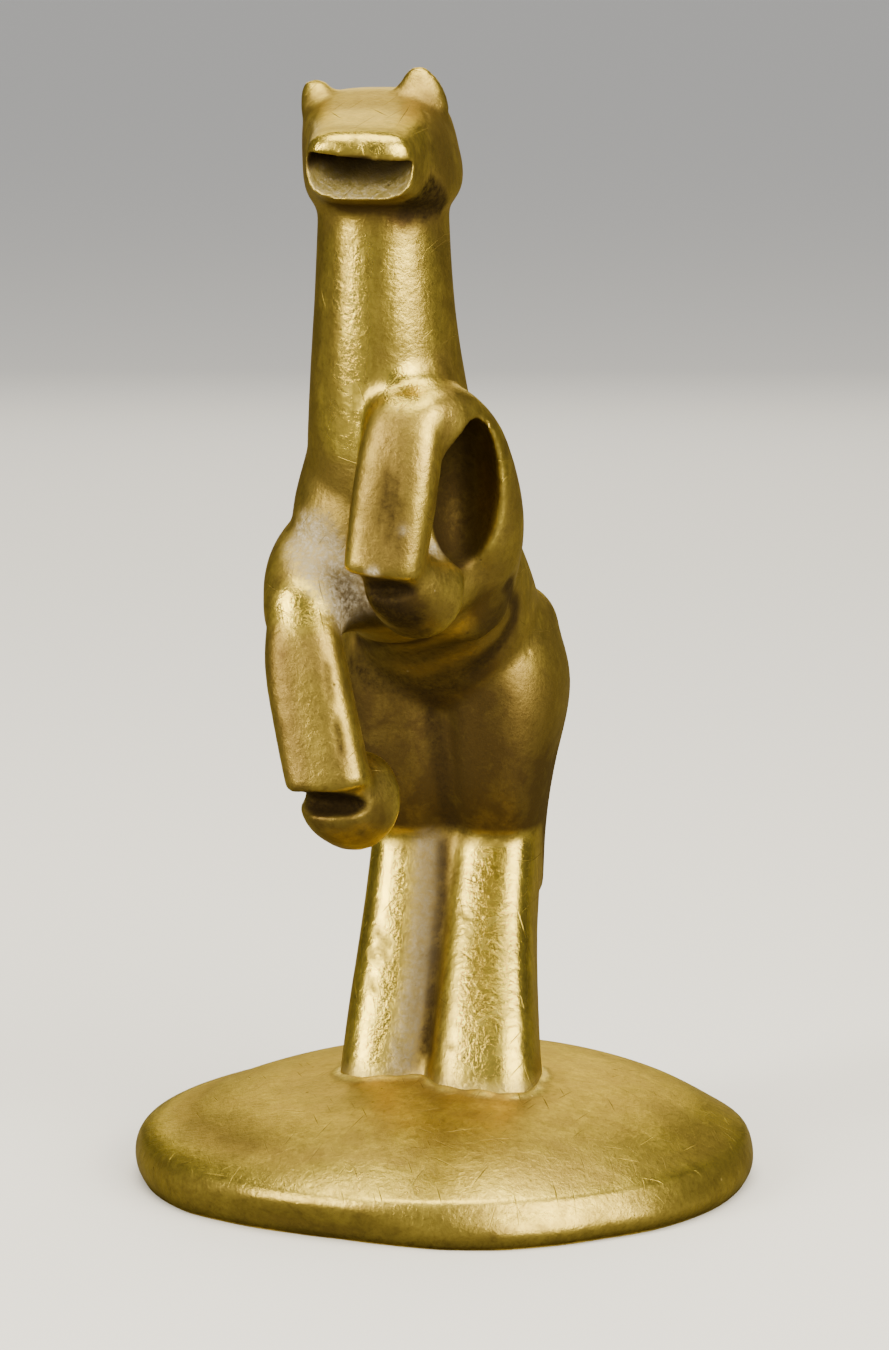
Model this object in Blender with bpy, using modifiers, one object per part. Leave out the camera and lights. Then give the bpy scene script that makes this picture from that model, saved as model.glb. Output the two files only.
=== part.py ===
"""Rearing horse statuette in solid brass: a stylised horse cast in one, soldered by its hind feet
to the crown of a low domed round base. The horse faces -Y, and its left side is +X.
Run it with: blender --background --python part.py
"""

import math

import bmesh
import bpy
import numpy as np
from mathutils import Matrix, Vector

MM = 0.001

# The base: a turned disc with a rounded rim and a domed top.
BASE_RADIUS = 31.0 * MM
BASE_CROWN = 11.4 * MM  # height of the dome's middle above the table
RIM_HEIGHT = 4.8 * MM  # where the rounded rim meets the dome
RIM_ROUND = 1.3 * MM  # how far the rim's upper corner is rounded inwards
FOOT_CHAMFER = 0.8 * MM  # how far the underside's edge is set in
DOME_FULLNESS = 2.7  # power of the dome's profile: 2 is a parabola, more is flatter in the middle
BASE_SEGMENTS = 96

# The figure, from the crown of the base to the tip of its left ear.
FIGURE_HEIGHT = 100.0 * MM
SEAT_GAP = 0.3 * MM  # solder gap between the hind feet and the dome

# The cast skin: parts are fused at this fineness, softened, and then reduced to flat faces.
VOXEL_SHARE = 0.0048
SOFTEN_STEPS = 9
SOFTEN_FACTOR = 0.5
FACES_KEPT = 0.042

# Resolution of a lofted part before it is fused.
RINGS_PER_STRETCH = 8
RING_POINTS = 40
CAP_RINGS = 6

BRASS = {"color": (0.53, 0.39, 0.13, 1.0), "metallic": 1.0, "roughness": 0.34}
BASE_BRASS = {"color": (0.46, 0.33, 0.11, 1.0), "metallic": 1.0, "roughness": 0.4}

# Stations of the lofted parts, in hundredths of the figure's height, measured from the crown
# of the base: x, y and z of the middle, half width, half depth, squareness of the section
# (2 is an ellipse, more is boxier).
TORSO = (
    (0.2, 8.6, 39.5, 7.6, 8.0, 2.2),
    (0.2, 3.5, 43.6, 8.9, 9.0, 2.2),
    (-0.1, -4.0, 49.5, 9.1, 8.4, 2.3),
    (-0.8, -10.5, 53.4, 9.1, 9.7, 2.3),
    (-1.1, -15.0, 57.0, 9.2, 8.9, 2.3),
)
CHEST = (
    (-1.5, -15.0, 63.0, 8.0, 8.0, 2.3),
    (-1.7, -15.8, 56.0, 9.0, 8.5, 2.7),
    (-1.6, -15.4, 49.4, 7.8, 7.6, 2.8),
)
NECK = (
    (-0.8, -11.5, 53.0, 9.8, 11.0, 2.1),
    (-1.1, -16.0, 62.5, 8.3, 9.2, 2.1),
    (-1.15, -18.6, 71.0, 7.2, 7.8, 2.2),
    (-1.1, -19.8, 79.0, 6.45, 7.0, 2.2),
    (-1.1, -20.0, 89.0, 5.95, 6.8, 2.2),
)
RIGHT_THIGH = (
    (-4.2, 8.2, 16.5, 4.0, 4.4, 2.6),
    (-4.3, 7.4, 23.1, 4.4, 5.6, 2.8),
    (-4.6, 6.0, 30.0, 5.3, 7.9, 2.6),
    (-5.1, 5.8, 38.0, 6.3, 9.0, 2.4),
    (-5.2, 6.0, 44.5, 6.1, 8.8, 2.3),
)
LEFT_THIGH = (
    (4.4, 8.2, 16.5, 4.0, 4.4, 2.6),
    (4.4, 7.4, 23.1, 4.4, 5.6, 2.8),
    (4.8, 6.0, 29.6, 5.15, 7.9, 2.6),
    (5.2, 5.8, 37.2, 6.2, 9.0, 2.4),
    (4.8, 6.0, 42.8, 5.4, 8.8, 2.3),
)
RIGHT_SHANK = (
    (-4.5, -3.4, -4.0, 5.2, 5.2, 3.0),
    (-4.4, -1.2, 3.0, 5.0, 4.9, 3.0),
    (-4.1, 3.6, 13.5, 4.7, 4.9, 3.0),
    (-4.1, 7.6, 22.5, 4.4, 5.2, 3.0),
)
LEFT_SHANK = (
    (6.0, -6.9, -4.0, 5.8, 5.4, 3.2),
    (5.5, -4.2, 3.0, 5.15, 5.0, 3.2),
    (4.55, 2.2, 13.5, 4.45, 4.9, 3.2),
    (4.2, 7.4, 22.5, 4.3, 5.2, 3.2),
)
CROTCH_WEB = (
    (-0.6, -3.6, -4.0, 3.6, 5.0, 2.3),
    (-0.4, -1.2, 3.0, 3.4, 4.9, 2.3),
    (0.0, 3.7, 13.5, 3.2, 4.7, 2.3),
    (0.2, 7.4, 22.5, 3.0, 5.2, 2.3),
    (0.2, 6.8, 30.0, 3.0, 7.4, 2.3),
    (0.2, 7.2, 38.0, 3.2, 8.6, 2.3),
)
LEFT_FOREARM = (
    (3.8, -8.5, 49.4, 5.2, 6.8, 2.2),
    (5.9, -13.6, 56.0, 5.1, 5.6, 2.2),
    (6.2, -18.4, 63.0, 4.3, 4.6, 2.3),
    (4.6, -23.0, 66.8, 3.8, 3.8, 2.4),
    (3.0, -26.0, 67.2, 3.5, 2.8, 2.6),
)
RIGHT_FOREARM = (
    (-4.8, -8.0, 51.8, 6.2, 7.4, 2.2),
    (-7.3, -14.0, 52.0, 5.15, 6.3, 2.2),
    (-7.9, -19.5, 50.6, 4.9, 5.6, 2.3),
    (-7.8, -24.6, 48.4, 4.0, 3.8, 2.4),
)
LEFT_CANNON = (
    (2.9, -24.4, 69.3, 3.3, 2.0, 2.4),
    (2.6, -26.1, 67.2, 3.6, 2.6, 2.6),
    (2.2, -27.1, 63.8, 3.85, 2.8, 3.0),
    (1.6, -27.7, 59.0, 3.9, 2.8, 3.3),
    (0.9, -28.4, 52.8, 3.75, 2.7, 3.4),
)
RIGHT_CANNON = (
    (-7.9, -23.8, 49.8, 2.8, 2.2, 2.2),
    (-7.7, -25.5, 47.8, 3.4, 2.6, 2.4),
    (-7.1, -26.7, 43.8, 3.85, 2.8, 3.0),
    (-5.9, -27.6, 38.6, 3.95, 2.8, 3.3),
    (-4.2, -28.7, 32.0, 4.0, 2.7, 3.4),
)
LEFT_HOOF = (
    (1.6, -27.2, 53.0, 3.2, 2.6, 2.4),
    (2.2, -25.0, 51.4, 4.0, 3.8, 2.1),
    (2.9, -21.6, 50.4, 4.8, 4.8, 2.0),
)
RIGHT_HOOF = (
    (-4.3, -27.4, 32.6, 3.4, 2.8, 2.4),
    (-3.9, -25.6, 31.0, 4.2, 4.2, 2.1),
    (-3.3, -22.4, 30.2, 4.9, 5.0, 2.0),
)
TAIL = (
    (0.0, 9.5, 47.6, 2.8, 2.8, 2.2),
    (0.0, 14.2, 42.6, 3.0, 2.6, 2.4),
    (0.0, 14.9, 34.0, 3.0, 2.4, 2.6),
    (0.0, 13.8, 24.0, 2.7, 2.2, 2.6),
    (0.0, 13.2, 14.5, 2.0, 1.8, 2.4),
)
MANE = (
    (-1.5, -15.2, 94.6, 1.5, 1.6, 2.4),
    (-1.2, -13.8, 89.0, 1.5, 1.8, 2.4),
    (-1.0, -13.0, 79.0, 1.6, 1.9, 2.4),
    (-1.0, -10.4, 69.5, 1.7, 2.0, 2.4),
    (-0.8, -6.2, 62.2, 1.8, 2.0, 2.4),
    (-0.6, -1.2, 57.0, 1.8, 1.8, 2.4),
)

# Hollows scooped out of the skin: middle and half sizes in the same shares, and turns about X
# and Z.
ARM_HOLLOW = ((6.5, -20.8, 60.2), (3.0, 6.0, 7.4), math.radians(12), math.radians(20))
LEFT_PASTERN = ((0.2, -30.0, 51.6), (4.4, 2.9, 0.9), math.radians(-10), 0.0)
RIGHT_PASTERN = ((-4.9, -30.0, 31.1), (4.9, 3.4, 1.15), math.radians(-10), 0.0)
PASTERN_NOTCH = ((-10.0, -27.4, 31.3), (3.4, 5.0, 1.0), math.radians(-6), 0.0)

# The head, in its own frame and in the same shares: x across, y negative towards the nose, z up
# from the level of the poll. The frame is then dipped and turned onto the neck. The skull's
# last value says how far its left cheek opens out downwards.
HEAD_PLACE = (-1.7, -14.5, 98.5)
HEAD_TURN = math.radians(5.0)  # to the horse's left
HEAD_DIP = math.radians(12.5)  # nose below the poll
SKULL = (
    (-0.6, -1.4, -5.3, 6.6, 5.0, 3.9, 0.12),
    (-0.5, -4.0, -5.6, 7.35, 5.6, 3.8, 0.14),
    (-0.15, -9.0, -5.4, 7.05, 5.4, 3.8, 0.14),
    (0.0, -14.0, -4.3, 5.9, 4.3, 3.8, 0.08),
    (-0.05, -18.0, -3.5, 5.2, 3.5, 3.7, 0.03),
    (-0.05, -20.4, -3.2, 4.95, 3.1, 3.5, 0.0),
)
JAW = (
    (0.0, -10.0, -5.6, 5.4, 2.8, 2.8),
    (0.0, -15.0, -5.2, 4.8, 2.2, 3.0),
    (0.0, -18.6, -4.8, 4.6, 2.2, 3.0),
)
LEFT_EAR = (
    (3.5, -6.0, -1.6, 3.0, 1.8, 2.4),
    (3.4, -4.8, 0.2, 2.35, 1.1, 2.3),
    (3.2, -4.0, 1.7, 1.2, 0.7, 2.1),
)
RIGHT_EAR = (
    (-5.9, -5.6, -1.6, 1.95, 1.9, 3.2),
    (-6.45, -4.6, -0.2, 1.4, 1.1, 3.6),
    (-6.5, -4.0, 0.4, 1.15, 0.8, 3.8),
)
MOUTH_ROOF = -2.2  # level of the palate at the lips
MOUTH_DEPTH = 7.5  # from the lips inwards
MOUTH_WIDTH = 9.9
MOUTH_DROP = 4.2  # from the palate to the lowest point of the lower lip's edge


def clear_scene():
    for thing in list(bpy.data.objects):
        bpy.data.objects.remove(thing)


def collection(name):
    made = bpy.data.collections.new(name)
    bpy.context.scene.collection.children.link(made)
    return made


def brass(name, look):
    made = bpy.data.materials.new(name)
    made.use_nodes = True
    shader = made.node_tree.nodes["Principled BSDF"]
    shader.inputs["Base Color"].default_value = look["color"]
    shader.inputs["Metallic"].default_value = look["metallic"]
    shader.inputs["Roughness"].default_value = look["roughness"]
    return made


def smooth_stations(stations):
    """Points on a Catmull-Rom curve through the stations, in all their values at once."""
    values = np.array(stations, float)
    first = 2 * values[0] - values[1]
    last = 2 * values[-1] - values[-2]
    padded = np.vstack([first, values, last])
    found = []
    for a, b, c, d in zip(padded, padded[1:], padded[2:], padded[3:]):
        for t in np.arange(RINGS_PER_STRETCH) / RINGS_PER_STRETCH:
            found.append(
                0.5
                * (
                    2 * b
                    + (c - a) * t
                    + (2 * a - 5 * b + 4 * c - d) * t**2
                    + (3 * b - a - 3 * c + d) * t**3
                )
            )
    return np.array(found + [values[-1]])


def section(half_width, half_depth, squareness, flare=0.0):
    """Points of a superellipse, anticlockwise. With a flare, the side towards +X opens out along
    the depth by that share."""
    turn = np.arange(RING_POINTS) * 2 * math.pi / RING_POINTS
    power = 2 / squareness
    across = half_width * np.sign(np.cos(turn)) * np.abs(np.cos(turn)) ** power
    along = half_depth * np.sign(np.sin(turn)) * np.abs(np.sin(turn)) ** power
    across *= np.where(across > 0, 1 + flare * along / half_depth, 1)
    return across, along


def rings_of(stations, start_round, end_round):
    """Rings of points through the stations. Each end is closed by a dome as long as the given
    share of its half depth."""
    path = smooth_stations(stations)
    tangents = np.gradient(path[:, :3], axis=0)
    ends = []
    for place, tangent, swell in (
        (path[0], -tangents[0], start_round),
        (path[-1], tangents[-1], end_round),
    ):
        out = tangent / np.linalg.norm(tangent)
        dome = []
        for angle in np.linspace(0, math.pi / 2, CAP_RINGS + 1)[1:]:
            shrink = max(math.cos(angle), 0.03)
            ring = place.copy()
            ring[:3] += out * math.sin(angle) * swell * place[4]
            ring[3:5] *= shrink
            dome.append(ring)
        ends.append(dome)
    path = np.vstack([ends[0][::-1], path, ends[1]])
    tangents = np.vstack(
        [[tangents[0]] * CAP_RINGS, tangents, [tangents[-1]] * CAP_RINGS]
    )
    rings = []
    for station, tangent in zip(path, tangents):
        ahead = Vector(tangent).normalized()
        side = Vector((1, 0, 0))
        side = (side - ahead * side.dot(ahead)).normalized()
        front = side.cross(ahead)
        across, along = section(*station[3:])
        middle = Vector(station[:3])
        rings.append(
            [middle + side * a + front * b for a, b in zip(across, along)]
        )
    return rings


def loft(name, stations, start_round=0.6, end_round=0.6, frame=None):
    """A closed tube through the stations, as an object at its real size and place."""
    unit = FIGURE_HEIGHT / 100
    place = Matrix.Translation((0, 0, BASE_CROWN)) @ Matrix.Scale(unit, 4)
    if frame is not None:
        place = place @ frame
    shape = bmesh.new()
    rings = [
        [shape.verts.new(place @ point) for point in ring]
        for ring in rings_of(stations, start_round, end_round)
    ]
    for low, high in zip(rings, rings[1:]):
        for i in range(RING_POINTS):
            j = (i + 1) % RING_POINTS
            shape.faces.new((low[i], low[j], high[j], high[i]))
    shape.faces.new(rings[0][::-1])
    shape.faces.new(rings[-1])
    bmesh.ops.recalc_face_normals(shape, faces=shape.faces)
    mesh = bpy.data.meshes.new(name)
    shape.to_mesh(mesh)
    shape.free()
    made = bpy.data.objects.new(name, mesh)
    bpy.context.scene.collection.objects.link(made)
    return made


def head_frame():
    """From the head's own shares to the figure's: dipped, turned and set on the neck."""
    return (
        Matrix.Translation(HEAD_PLACE)
        @ Matrix.Rotation(HEAD_TURN, 4, "Z")
        @ Matrix.Rotation(HEAD_DIP, 4, "X")
    )


def mouth_cutter():
    """A quarter of a flattened ball, flat side up, that opens the front of the muzzle."""
    unit = FIGURE_HEIGHT / 100
    place = (
        Matrix.Translation((0, 0, BASE_CROWN))
        @ Matrix.Scale(unit, 4)
        @ head_frame()
    )
    nose = SKULL[-1][1] - SKULL[-1][4] * 0.5
    bpy.ops.mesh.primitive_uv_sphere_add(segments=40, ring_count=20, radius=1)
    cutter = bpy.context.object
    cutter.name = "mouth_cutter"
    bpy.ops.object.mode_set(mode="EDIT")
    bpy.ops.mesh.select_all(action="SELECT")
    bpy.ops.mesh.bisect(
        plane_co=(0, 0, 0), plane_no=(0, 0, 1), use_fill=True, clear_outer=True
    )
    bpy.ops.object.mode_set(mode="OBJECT")
    cutter.data.transform(
        place
        @ Matrix.Translation((0, nose, MOUTH_ROOF))
        @ Matrix.Diagonal((MOUTH_WIDTH / 2, MOUTH_DEPTH, MOUTH_DROP, 1))
    )
    return cutter


def hollow(name, middle, half_sizes, tip, turn):
    """A ball stretched to its half sizes, tipped about X and turned about Z, at its real size
    and place."""
    unit = FIGURE_HEIGHT / 100
    bpy.ops.mesh.primitive_uv_sphere_add(segments=32, ring_count=16, radius=1)
    made = bpy.context.object
    made.name = name
    made.data.transform(
        Matrix.Translation((0, 0, BASE_CROWN))
        @ Matrix.Scale(unit, 4)
        @ Matrix.Translation(middle)
        @ Matrix.Rotation(turn, 4, "Z")
        @ Matrix.Rotation(tip, 4, "X")
        @ Matrix.Diagonal((*half_sizes, 1))
    )
    return made


def base_profile(grow=0.0):
    """Half outline of the base, from the crown down to the underside, as radius and height pairs."""
    inner = BASE_RADIUS - RIM_ROUND
    half = RIM_HEIGHT / 2
    slope = (BASE_CROWN - RIM_HEIGHT) * DOME_FULLNESS / inner
    start = math.atan(slope * RIM_ROUND / half)
    edge = inner + RIM_ROUND * math.sin(start)
    low = half * (1 + math.cos(start))
    points = []
    for share in np.linspace(0, 1, 15):
        height = low + (BASE_CROWN - low) * (1 - share**DOME_FULLNESS)
        points.append((edge * share, height))
    for angle in np.linspace(start, math.pi, 9)[1:-1]:
        points.append((inner + RIM_ROUND * math.sin(angle), half * (1 + math.cos(angle))))
    points.append((BASE_RADIUS - FOOT_CHAMFER, 0.0))
    points.append((0.0, 0.0))
    return [(radius, height + grow) for radius, height in points]


def turned(name, profile, segments):
    """A profile spun about the Z axis by a Screw modifier."""
    mesh = bpy.data.meshes.new(name)
    vertices = [(radius, 0, height) for radius, height in profile]
    edges = [(i, i + 1) for i in range(len(vertices) - 1)]
    mesh.from_pydata(vertices, edges, [])
    made = bpy.data.objects.new(name, mesh)
    bpy.context.scene.collection.objects.link(made)
    screw = made.modifiers.new("turn", "SCREW")
    screw.steps = segments
    screw.render_steps = segments
    screw.use_merge_vertices = True
    screw.merge_threshold = 0.00005
    screw.use_smooth_shade = True
    return made


def cast(name, parts, hollows):
    """One skin over all the overlapping parts, less the hollows, softened, in few faces."""
    bpy.ops.object.select_all(action="DESELECT")
    for part in parts:
        part.select_set(True)
    bpy.context.view_layer.objects.active = parts[0]
    bpy.ops.object.join()
    figure = bpy.context.object
    figure.name = name
    fuse = figure.modifiers.new("fuse", "REMESH")
    fuse.mode = "VOXEL"
    fuse.voxel_size = VOXEL_SHARE * FIGURE_HEIGHT
    for scoop in hollows:
        cut(figure, scoop)
    again = figure.modifiers.new("fuse_again", "REMESH")
    again.mode = "VOXEL"
    again.voxel_size = VOXEL_SHARE * FIGURE_HEIGHT
    soften = figure.modifiers.new("soften", "SMOOTH")
    soften.factor = SOFTEN_FACTOR
    soften.iterations = SOFTEN_STEPS
    reduce = figure.modifiers.new("reduce", "DECIMATE")
    reduce.ratio = FACES_KEPT
    return figure


def cut(target, cutter):
    modifier = target.modifiers.new(cutter.name, "BOOLEAN")
    modifier.operation = "DIFFERENCE"
    modifier.object = cutter


def move_to(group, *things):
    for thing in things:
        for old in list(thing.users_collection):
            old.objects.unlink(thing)
        group.objects.link(thing)


def horse_parts():
    head = head_frame()
    return [
        loft("torso", TORSO, 0.9, 0.8),
        loft("chest", CHEST, 0.4, 0.5),
        loft("neck", NECK, 0.5, 0.5),
        loft("right_thigh", RIGHT_THIGH, 0.5, 0.7),
        loft("left_thigh", LEFT_THIGH, 0.5, 0.6),
        loft("right_shank", RIGHT_SHANK, 0.0, 0.6),
        loft("left_shank", LEFT_SHANK, 0.0, 0.6),
        loft("crotch_web", CROTCH_WEB, 0.0, 0.6),
        loft("right_forearm", RIGHT_FOREARM, 0.6, 0.7),
        loft("left_forearm", LEFT_FOREARM, 0.6, 0.7),
        loft("right_cannon", RIGHT_CANNON, 0.8, 0.15),
        loft("left_cannon", LEFT_CANNON, 0.8, 0.15),
        loft("right_hoof", RIGHT_HOOF, 0.3, 0.12),
        loft("left_hoof", LEFT_HOOF, 0.3, 0.12),
        loft("tail", TAIL, 0.6, 0.9),
        loft("mane", MANE, 0.9, 0.9),
        loft("skull", SKULL, 0.4, 0.5, head),
        loft("jaw", JAW, 0.3, 0.4, head),
        loft("right_ear", RIGHT_EAR, 0.3, 0.4, head),
        loft("left_ear", LEFT_EAR, 0.3, 0.8, head),
    ]


def main():
    clear_scene()
    statuette = collection("rearing_horse")
    cutters = collection("cutters")

    base = turned("base", base_profile(), BASE_SEGMENTS)
    base.data.materials.append(brass("base brass", BASE_BRASS))

    hollows = [
        hollow("arm_hollow", *ARM_HOLLOW),
        hollow("left_pastern", *LEFT_PASTERN),
        hollow("right_pastern", *RIGHT_PASTERN),
        hollow("pastern_notch", *PASTERN_NOTCH),
    ]
    horse = cast("horse", horse_parts(), hollows)
    horse.data.materials.append(brass("brass", BRASS))
    seat = turned("seat_cutter", base_profile(grow=SEAT_GAP), BASE_SEGMENTS)
    mouth = mouth_cutter()
    cut(horse, mouth)
    cut(horse, seat)

    move_to(statuette, base, horse)
    for cutter in (seat, mouth, *hollows):
        move_to(cutters, cutter)
        cutter.hide_render = True
        cutter.display_type = "WIRE"


main()
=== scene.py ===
"""Rearing horse statuette in solid brass on a low domed round base: the finished look over the CAD
solids. The horse faces -Y, its left side is +X, and the base stands on z = 0."""

import math

import bmesh
import bpy
import numpy as np
from bpy.props import FloatProperty, FloatVectorProperty, IntProperty, PointerProperty
from mathutils import Matrix, Vector
from mathutils.bvhtree import BVHTree


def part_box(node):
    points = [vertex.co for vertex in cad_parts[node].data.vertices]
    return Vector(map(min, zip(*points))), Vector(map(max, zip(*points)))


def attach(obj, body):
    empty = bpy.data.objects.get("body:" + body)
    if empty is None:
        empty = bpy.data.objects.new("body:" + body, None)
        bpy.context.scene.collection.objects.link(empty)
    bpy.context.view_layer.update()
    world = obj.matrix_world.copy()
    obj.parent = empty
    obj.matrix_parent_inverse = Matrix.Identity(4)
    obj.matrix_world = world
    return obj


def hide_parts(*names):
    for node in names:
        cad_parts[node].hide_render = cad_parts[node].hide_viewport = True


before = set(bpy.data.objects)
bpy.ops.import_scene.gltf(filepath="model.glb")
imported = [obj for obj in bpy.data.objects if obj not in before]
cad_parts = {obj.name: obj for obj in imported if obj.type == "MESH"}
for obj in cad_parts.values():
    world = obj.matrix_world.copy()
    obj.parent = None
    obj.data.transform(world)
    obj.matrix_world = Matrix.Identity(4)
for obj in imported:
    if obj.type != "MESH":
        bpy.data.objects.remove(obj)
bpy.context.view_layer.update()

bl_info = {
    "name": "Rearing Brass Horse",
    "version": (1, 0, 0),
    "blender": (4, 5, 0),
    "location": "View3D > Sidebar > Brass Horse",
    "description": "Casts, finishes and lights a rearing brass horse on its round base",
    "category": "Object",
}

_, BASE_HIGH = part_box("base")
MM = 0.001

# Stations of the lofted parts, in hundredths of the figure's height, measured from the crown
# of the base: x, y and z of the middle, half width, half depth, squareness of the section
# (2 is an ellipse, more is boxier). After them, how round the first and the last end are.
BODY_PARTS = {
    "torso": (
        (0.2, 8.6, 39.5, 7.6, 8.0, 2.2),
        (0.2, 3.5, 43.6, 8.9, 9.0, 2.2),
        (-0.1, -4.0, 49.5, 9.1, 8.4, 2.3),
        (-0.8, -10.5, 53.4, 9.1, 9.7, 2.3),
        (-1.1, -15.0, 57.0, 9.2, 8.9, 2.3),
        (0.9, 0.8),
    ),
    "chest": (
        (-1.5, -15.0, 63.0, 8.0, 8.0, 2.3),
        (-1.7, -15.8, 56.0, 9.0, 8.5, 2.7),
        (-1.6, -15.4, 49.4, 7.8, 7.6, 2.8),
        (0.4, 0.5),
    ),
    "neck": (
        (-0.8, -11.5, 53.0, 9.8, 11.0, 2.1),
        (-1.1, -16.0, 62.5, 8.3, 9.2, 2.1),
        (-1.15, -18.6, 71.0, 7.2, 7.8, 2.2),
        (-1.1, -19.8, 79.0, 6.45, 7.0, 2.2),
        (-1.1, -20.0, 89.0, 5.95, 6.8, 2.2),
        (0.5, 0.5),
    ),
    "right_thigh": (
        (-4.2, 8.2, 16.5, 4.0, 4.4, 2.6),
        (-4.3, 7.4, 23.1, 4.4, 5.6, 2.8),
        (-4.6, 6.0, 30.0, 5.3, 7.9, 2.6),
        (-5.1, 5.8, 38.0, 6.3, 9.0, 2.4),
        (-5.2, 6.0, 44.5, 6.1, 8.8, 2.3),
        (0.5, 0.7),
    ),
    "left_thigh": (
        (4.4, 8.2, 16.5, 4.0, 4.4, 2.6),
        (4.4, 7.4, 23.1, 4.4, 5.6, 2.8),
        (4.8, 6.0, 29.6, 5.15, 7.9, 2.6),
        (5.2, 5.8, 37.2, 6.2, 9.0, 2.4),
        (4.8, 6.0, 42.8, 5.4, 8.8, 2.3),
        (0.5, 0.6),
    ),
    "right_shank": (
        (-4.5, -3.4, -4.0, 5.2, 5.2, 3.0),
        (-4.4, -1.2, 3.0, 5.0, 4.9, 3.0),
        (-4.1, 3.6, 13.5, 4.7, 4.9, 3.0),
        (-4.1, 7.6, 22.5, 4.4, 5.2, 3.0),
        (0.0, 0.6),
    ),
    "left_shank": (
        (6.0, -6.9, -4.0, 5.8, 5.4, 3.2),
        (5.5, -4.2, 3.0, 5.15, 5.0, 3.2),
        (4.55, 2.2, 13.5, 4.45, 4.9, 3.2),
        (4.2, 7.4, 22.5, 4.3, 5.2, 3.2),
        (0.0, 0.6),
    ),
    "crotch_web": (
        (-0.6, -3.6, -4.0, 3.6, 5.0, 2.3),
        (-0.4, -1.2, 3.0, 3.4, 4.9, 2.3),
        (0.0, 3.7, 13.5, 3.2, 4.7, 2.3),
        (0.2, 7.4, 22.5, 3.0, 5.2, 2.3),
        (0.2, 6.8, 30.0, 3.0, 7.4, 2.3),
        (0.2, 7.2, 38.0, 3.2, 8.6, 2.3),
        (0.0, 0.6),
    ),
    "left_forearm": (
        (3.8, -8.5, 49.4, 5.2, 6.8, 2.2),
        (5.9, -13.6, 56.0, 5.1, 5.6, 2.2),
        (6.2, -18.4, 63.0, 4.3, 4.6, 2.3),
        (4.6, -23.0, 66.8, 3.8, 3.8, 2.4),
        (3.0, -26.0, 67.2, 3.5, 2.8, 2.6),
        (0.6, 0.7),
    ),
    "right_forearm": (
        (-4.8, -8.0, 51.8, 6.2, 7.4, 2.2),
        (-7.3, -14.0, 52.0, 5.15, 6.3, 2.2),
        (-7.9, -19.5, 50.6, 4.9, 5.6, 2.3),
        (-7.8, -24.6, 48.4, 4.0, 3.8, 2.4),
        (0.6, 0.7),
    ),
    "left_cannon": (
        (2.9, -24.4, 69.3, 3.3, 2.0, 2.4),
        (2.6, -26.1, 67.2, 3.6, 2.6, 2.6),
        (2.2, -27.1, 63.8, 3.85, 2.8, 3.0),
        (1.6, -27.7, 59.0, 3.9, 2.8, 3.3),
        (0.9, -28.4, 52.8, 3.75, 2.7, 3.4),
        (0.8, 0.15),
    ),
    "right_cannon": (
        (-7.9, -23.8, 49.8, 2.8, 2.2, 2.2),
        (-7.7, -25.5, 47.8, 3.4, 2.6, 2.4),
        (-7.1, -26.7, 43.8, 3.85, 2.8, 3.0),
        (-5.9, -27.6, 38.6, 3.95, 2.8, 3.3),
        (-4.2, -28.7, 32.0, 4.0, 2.7, 3.4),
        (0.8, 0.15),
    ),
    "left_hoof": (
        (1.6, -27.2, 53.0, 3.2, 2.6, 2.4),
        (2.2, -25.0, 51.4, 4.0, 3.8, 2.1),
        (2.9, -21.6, 50.4, 4.8, 4.8, 2.0),
        (0.3, 0.12),
    ),
    "right_hoof": (
        (-4.3, -27.4, 32.6, 3.4, 2.8, 2.4),
        (-3.9, -25.6, 31.0, 4.2, 4.2, 2.1),
        (-3.3, -22.4, 30.2, 4.9, 5.0, 2.0),
        (0.3, 0.12),
    ),
    "tail": (
        (0.0, 9.5, 47.6, 2.8, 2.8, 2.2),
        (0.0, 14.2, 42.6, 3.0, 2.6, 2.4),
        (0.0, 14.9, 34.0, 3.0, 2.4, 2.6),
        (0.0, 13.8, 24.0, 2.7, 2.2, 2.6),
        (0.0, 13.2, 14.5, 2.0, 1.8, 2.4),
        (0.6, 0.9),
    ),
    "mane": (
        (-1.5, -15.2, 94.6, 1.5, 1.6, 2.4),
        (-1.2, -13.8, 89.0, 1.5, 1.8, 2.4),
        (-1.0, -13.0, 79.0, 1.6, 1.9, 2.4),
        (-1.0, -10.4, 69.5, 1.7, 2.0, 2.4),
        (-0.8, -6.2, 62.2, 1.8, 2.0, 2.4),
        (-0.6, -1.2, 57.0, 1.8, 1.8, 2.4),
        (0.9, 0.9),
    ),
}

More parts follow.
